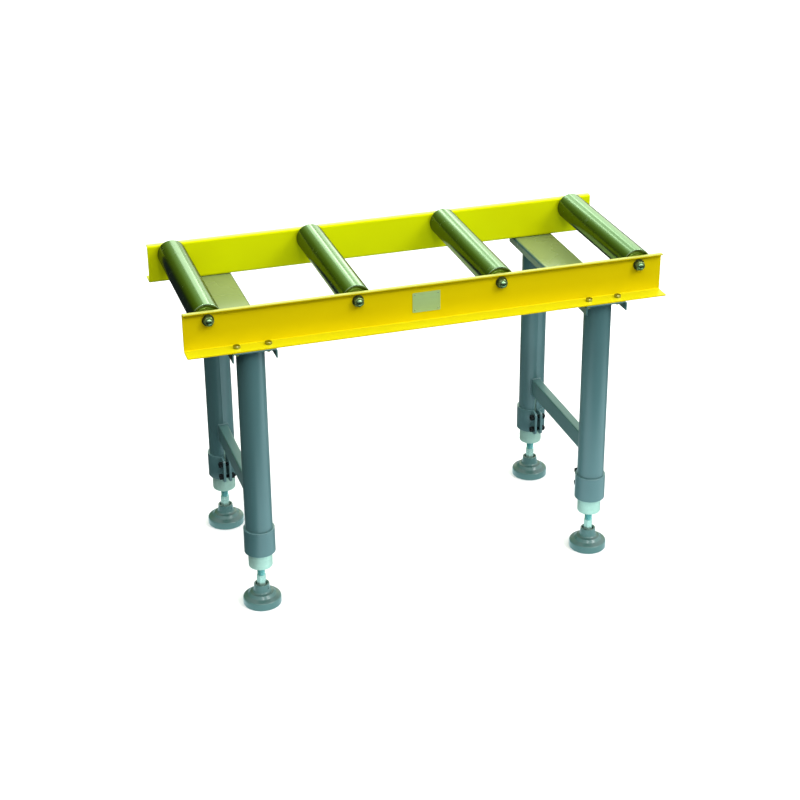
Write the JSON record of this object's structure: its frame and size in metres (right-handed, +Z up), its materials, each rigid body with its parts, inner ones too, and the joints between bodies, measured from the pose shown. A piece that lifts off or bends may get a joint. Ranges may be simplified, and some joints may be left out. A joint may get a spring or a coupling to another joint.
{
  "type": "roller table",
  "caption": "Workshop roller table: steel rollers between two yellow sheet rails on leg stands with clamped telescopic legs and screwed levelling feet.",
  "frame": {"origin": "on the floor, under the middle of the table", "axes": "+X along the rails, -Y the front rail, +Z up"},
  "size_m": [1, 0.45, 0.6896],
  "materials": {
    "rail_paint": "gloss yellow powder coat",
    "stand_paint": "satin grey powder coat",
    "roller_steel": "ground and polished tube",
    "bearing_steel": "shielded bearing",
    "fastener_steel": "bright zinc plate",
    "zinc_tube": "satin zinc plate",
    "spindle_zinc": "blue zinc plate",
    "black_oxide": "black oxide",
    "foot_grey": "satin grey"
  },
  "bodies": {
    "frame": {"front_side_rail": "rail_paint", "rear_side_rail": "rail_paint", "left_cross_channel": "stand_paint", "left_brace": "stand_paint", "right_cross_channel": "stand_paint", "right_brace": "stand_paint", "roller_axle_1": "fastener_steel", "roller_axle_2": "fastener_steel", "roller_axle_3": "fastener_steel", "roller_axle_4": "fastener_steel", "front_left_leg_tube": "stand_paint", "front_left_clamp_collar": "stand_paint", "front_left_clamp_screw_lower": "black_oxide", "front_left_clamp_screw_upper": "black_oxide", "front_left_flange_bolt_left": "fastener_steel", "front_left_flange_bolt_right": "fastener_steel", "rear_left_leg_tube": "stand_paint", "rear_left_clamp_collar": "stand_paint", "rear_left_clamp_screw_lower": "black_oxide", "rear_left_clamp_screw_upper": "black_oxide", "rear_left_flange_bolt_left": "fastener_steel", "rear_left_flange_bolt_right": "fastener_steel", "front_right_leg_tube": "stand_paint", "front_right_clamp_collar": "stand_paint", "front_right_clamp_screw_lower": "black_oxide", "front_right_clamp_screw_upper": "black_oxide", "front_right_flange_bolt_left": "fastener_steel", "front_right_flange_bolt_right": "fastener_steel", "rear_right_leg_tube": "stand_paint", "rear_right_clamp_collar": "stand_paint", "rear_right_clamp_screw_lower": "black_oxide", "rear_right_clamp_screw_upper": "black_oxide", "rear_right_flange_bolt_left": "fastener_steel", "rear_right_flange_bolt_right": "fastener_steel"},
    "roller_1": {"roller_shell_1": "roller_steel", "front_bearing_1": "bearing_steel", "rear_bearing_1": "bearing_steel"},
    "roller_2": {"roller_shell_2": "roller_steel", "front_bearing_2": "bearing_steel", "rear_bearing_2": "bearing_steel"},
    "roller_3": {"roller_shell_3": "roller_steel", "front_bearing_3": "bearing_steel", "rear_bearing_3": "bearing_steel"},
    "roller_4": {"roller_shell_4": "roller_steel", "front_bearing_4": "bearing_steel", "rear_bearing_4": "bearing_steel"},
    "front_left_leg": {"front_left_inner_tube": "zinc_tube"},
    "front_left_foot": {"front_left_foot_pad": "foot_grey"},
    "front_left_screw": {"front_left_spindle": "spindle_zinc"},
    "rear_left_leg": {"rear_left_inner_tube": "zinc_tube"},
    "rear_left_foot": {"rear_left_foot_pad": "foot_grey"},
    "rear_left_screw": {"rear_left_spindle": "spindle_zinc"},
    "front_right_leg": {"front_right_inner_tube": "zinc_tube"},
    "front_right_foot": {"front_right_foot_pad": "foot_grey"},
    "front_right_screw": {"front_right_spindle": "spindle_zinc"},
    "rear_right_leg": {"rear_right_inner_tube": "zinc_tube"},
    "rear_right_foot": {"rear_right_foot_pad": "foot_grey"},
    "rear_right_screw": {"rear_right_spindle": "spindle_zinc"}
  },
  "joints": [
    {"name": "roller_1_spin", "type": "hinge", "parent": "frame", "child": "roller_1", "pos_m": [-0.45, 0, 0.6596], "axis": [0, 1, 0], "continuous": true},
    {"name": "roller_2_spin", "type": "hinge", "parent": "frame", "child": "roller_2", "pos_m": [-0.15, 0, 0.6596], "axis": [0, 1, 0], "continuous": true},
    {"name": "roller_3_spin", "type": "hinge", "parent": "frame", "child": "roller_3", "pos_m": [0.15, 0, 0.6596], "axis": [0, 1, 0], "continuous": true},
    {"name": "roller_4_spin", "type": "hinge", "parent": "frame", "child": "roller_4", "pos_m": [0.45, 0, 0.6596], "axis": [0, 1, 0], "continuous": true},
    {"name": "front_left_leg_extend", "type": "slide", "parent": "frame", "child": "front_left_leg", "axis": [0, 0, -1], "range_m": [-0.03, 0.25]},
    {"name": "front_left_foot_level", "type": "slide", "parent": "front_left_leg", "child": "front_left_foot", "axis": [0, 0, -1], "range_m": [-0.02, 0.06]},
    {"name": "front_left_screw_turn", "type": "hinge", "parent": "front_left_foot", "child": "front_left_screw", "pos_m": [-0.368, -0.1765, 0], "axis": [0, 0, -1], "range_deg": [-3600, 10800]},
    {"name": "rear_left_leg_extend", "type": "slide", "parent": "frame", "child": "rear_left_leg", "axis": [0, 0, -1], "range_m": [-0.03, 0.25]},
    {"name": "rear_left_foot_level", "type": "slide", "parent": "rear_left_leg", "child": "rear_left_foot", "axis": [0, 0, -1], "range_m": [-0.02, 0.06]},
    {"name": "rear_left_screw_turn", "type": "hinge", "parent": "rear_left_foot", "child": "rear_left_screw", "pos_m": [-0.368, 0.1765, 0], "axis": [0, 0, -1], "range_deg": [-3600, 10800]},
    {"name": "front_right_leg_extend", "type": "slide", "parent": "frame", "child": "front_right_leg", "axis": [0, 0, -1], "range_m": [-0.03, 0.25]},
    {"name": "front_right_foot_level", "type": "slide", "parent": "front_right_leg", "child": "front_right_foot", "axis": [0, 0, -1], "range_m": [-0.02, 0.06]},
    {"name": "front_right_screw_turn", "type": "hinge", "parent": "front_right_foot", "child": "front_right_screw", "pos_m": [0.368, -0.1765, 0], "axis": [0, 0, -1], "range_deg": [-3600, 10800]},
    {"name": "rear_right_leg_extend", "type": "slide", "parent": "frame", "child": "rear_right_leg", "axis": [0, 0, -1], "range_m": [-0.03, 0.25]},
    {"name": "rear_right_foot_level", "type": "slide", "parent": "rear_right_leg", "child": "rear_right_foot", "axis": [0, 0, -1], "range_m": [-0.02, 0.06]},
    {"name": "rear_right_screw_turn", "type": "hinge", "parent": "rear_right_foot", "child": "rear_right_screw", "pos_m": [0.368, 0.1765, 0], "axis": [0, 0, -1], "range_deg": [-3600, 10800]}
  ],
  "couplings": [
    {"joint": "front_left_screw_turn", "follows": "front_left_foot_level", "rad_per_m": 3141.6},
    {"joint": "rear_left_screw_turn", "follows": "rear_left_foot_level", "rad_per_m": 3141.6},
    {"joint": "front_right_screw_turn", "follows": "front_right_foot_level", "rad_per_m": 3141.6},
    {"joint": "rear_right_screw_turn", "follows": "rear_right_foot_level", "rad_per_m": 3141.6}
  ]
}
